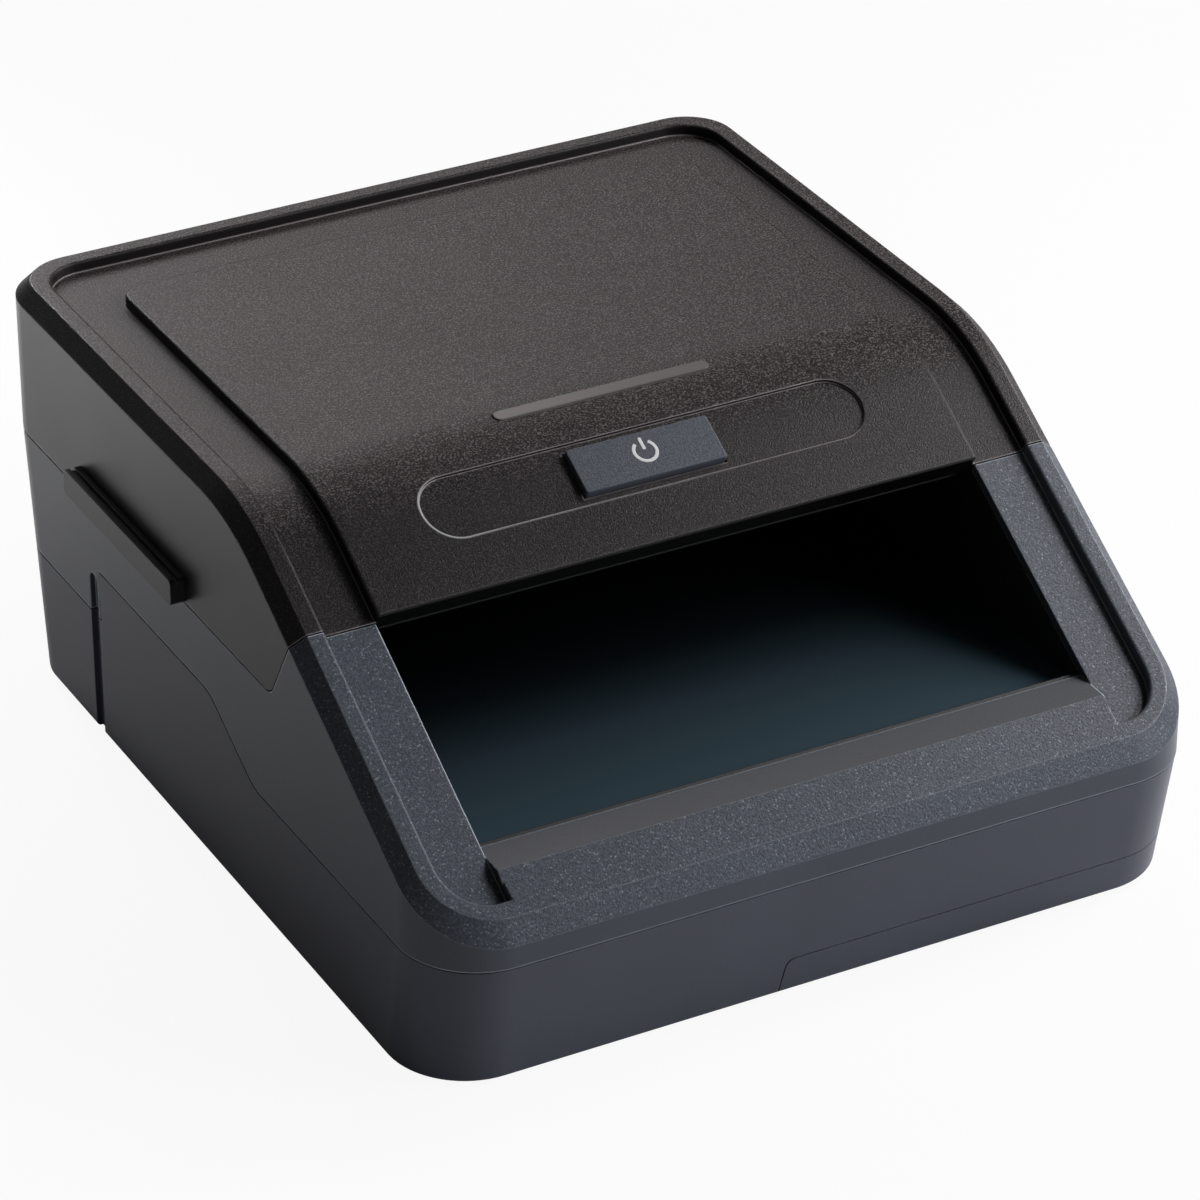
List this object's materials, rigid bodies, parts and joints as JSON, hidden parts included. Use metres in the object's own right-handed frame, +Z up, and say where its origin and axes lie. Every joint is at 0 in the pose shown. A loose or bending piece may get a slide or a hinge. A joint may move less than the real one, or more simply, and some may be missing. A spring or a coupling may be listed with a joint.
{
  "type": "hooded banknote checker",
  "caption": "Low desk-top banknote checker: a note is laid in an open-fronted viewing chamber under a lifting, sloping hood with lamps, a power key and a status light bar.",
  "frame": {"origin": "under the middle of the object's box, on the surface that its feet stand on", "axes": "+Z up, -Y towards the open front, +X to the right of a user in front of it"},
  "size_m": [0.218, 0.255, 0.1107],
  "materials": {
    "hood_plastic": "fine textured dark grey plastic with a silver fleck",
    "frame_plastic": "satin anthracite plastic with a metallic fleck",
    "base_plastic": "satin anthracite plastic",
    "floor_gloss": "dark smooth filter panel",
    "chamber_black": "dull black plastic",
    "button_plastic": "blue-grey satin plastic",
    "light_pipe": "smoked light pipe",
    "diffuser_white": "opal sheet",
    "circuit_board": "green solder mask",
    "led_body": "white package with clear resin",
    "lens_clear": "clear window",
    "component_black": "black moulded case",
    "dome_rubber": "grey silicone",
    "foot_rubber": "black rubber",
    "lead_sheath": "flat grey ribbon",
    "screw_steel": "zinc-plated steel",
    "plated_metal": "bright nickel plate"
  },
  "bodies": {
    "housing": {"base_tray": "base_plastic", "front_frame": "frame_plastic", "service_hatch": "base_plastic", "chamber_tub": "chamber_black", "floor_plate": "floor_gloss", "backlight_diffuser": "diffuser_white", "backlight_board": "circuit_board", "backlight_leds": "led_body", "main_board": "circuit_board", "board_components": "component_black", "buzzer": "component_black", "power_inlet": "component_black", "inlet_pin": "plated_metal", "rubber_feet": "foot_rubber", "base_screws": "screw_steel", "tub_screws": "screw_steel", "board_screws": "screw_steel", "hatch_screw": "screw_steel", "hinge_pins": "screw_steel", "catch_magnets": "plated_metal"},
    "hood": {"hood_shell": "hood_plastic", "hood_lining": "chamber_black", "lining_screws": "screw_steel", "uv_board": "circuit_board", "uv_leds": "led_body", "uv_lens": "lens_clear", "white_board": "circuit_board", "white_leds": "led_body", "white_lens": "lens_clear", "status_light_bar": "light_pipe", "status_led_board": "circuit_board", "status_leds": "led_body", "control_board": "circuit_board", "control_screws": "screw_steel", "tact_switch": "component_black", "button_dome": "dome_rubber", "side_grip_left": "frame_plastic", "side_grip_right": "frame_plastic", "catch_plates": "plated_metal", "lamp_socket": "component_black", "lamp_lead": "lead_sheath"},
    "button": {"power_button": "button_plastic"}
  },
  "joints": [
    {"name": "hood_hinge", "type": "hinge", "parent": "housing", "child": "hood", "pos_m": [0, 0.124, 0.069], "axis": [-1, 0, 0], "range_deg": [0, 75], "deforming": ["lamp_lead"]},
    {"name": "button_press", "type": "slide", "parent": "hood", "child": "button", "axis": [0, 0.4695, -0.8829], "range_m": [0, 0.0012], "stiffness_N_per_m": 1000, "springref_m": -0.0005, "deforming": ["button_dome"]}
  ]
}
